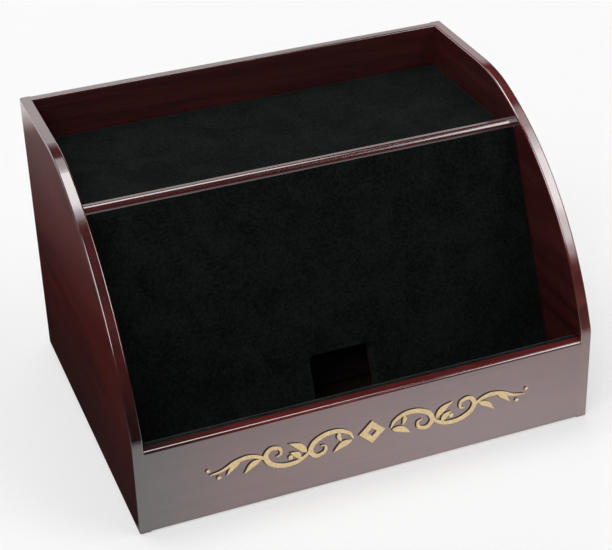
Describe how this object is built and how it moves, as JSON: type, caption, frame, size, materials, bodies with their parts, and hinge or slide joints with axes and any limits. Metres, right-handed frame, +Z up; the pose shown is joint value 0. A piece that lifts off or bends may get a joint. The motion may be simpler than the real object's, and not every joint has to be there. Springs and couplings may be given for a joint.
{
  "type": "valet box",
  "caption": "Lacquered wooden valet box with curved sides, an open felt tray on top, a leaning felt rest for devices behind a low front board, and a drawer at the back.",
  "frame": {"origin": "middle of the footprint, on the table that the pads stand on", "axes": "+X to the box's right seen from the front, +Y to the back where the drawer opens, +Z up"},
  "size_m": [0.184, 0.1376, 0.1163],
  "materials": {
    "lacquer": "dark red-brown stained wood under satin-gloss lacquer",
    "plain_wood": "plain sanded light wood",
    "stained_wood": "dark stained wood without lacquer",
    "felt": "near-black flocked felt with a short nap",
    "pad_felt": "dense dark felt foot pads"
  },
  "bodies": {
    "case": {"side_panel_left": "lacquer", "side_panel_right": "lacquer", "front_board": "lacquer", "back_panel": "lacquer", "divider": "lacquer", "base_board": "stained_wood", "rest_board": "stained_wood", "tray_board": "plain_wood", "rest_cleat_left": "plain_wood", "rest_cleat_right": "plain_wood", "tray_cleat_left": "plain_wood", "tray_cleat_right": "plain_wood", "tray_cleat_back": "plain_wood", "drawer_kicker_left": "plain_wood", "drawer_kicker_right": "plain_wood", "drawer_stop_left": "plain_wood", "drawer_stop_right": "plain_wood", "rest_felt": "felt", "pocket_liner": "felt", "pocket_felt": "felt", "tray_felt": "felt", "base_pads": "pad_felt"},
    "drawer": {"drawer_front": "lacquer", "drawer_side_left": "stained_wood", "drawer_side_right": "stained_wood", "drawer_end": "stained_wood", "drawer_bottom": "stained_wood", "drawer_felt": "felt"}
  },
  "joints": [
    {"name": "drawer_slide", "type": "slide", "parent": "case", "child": "drawer", "axis": [0, 1, 0], "range_m": [0, 0.06]}
  ]
}
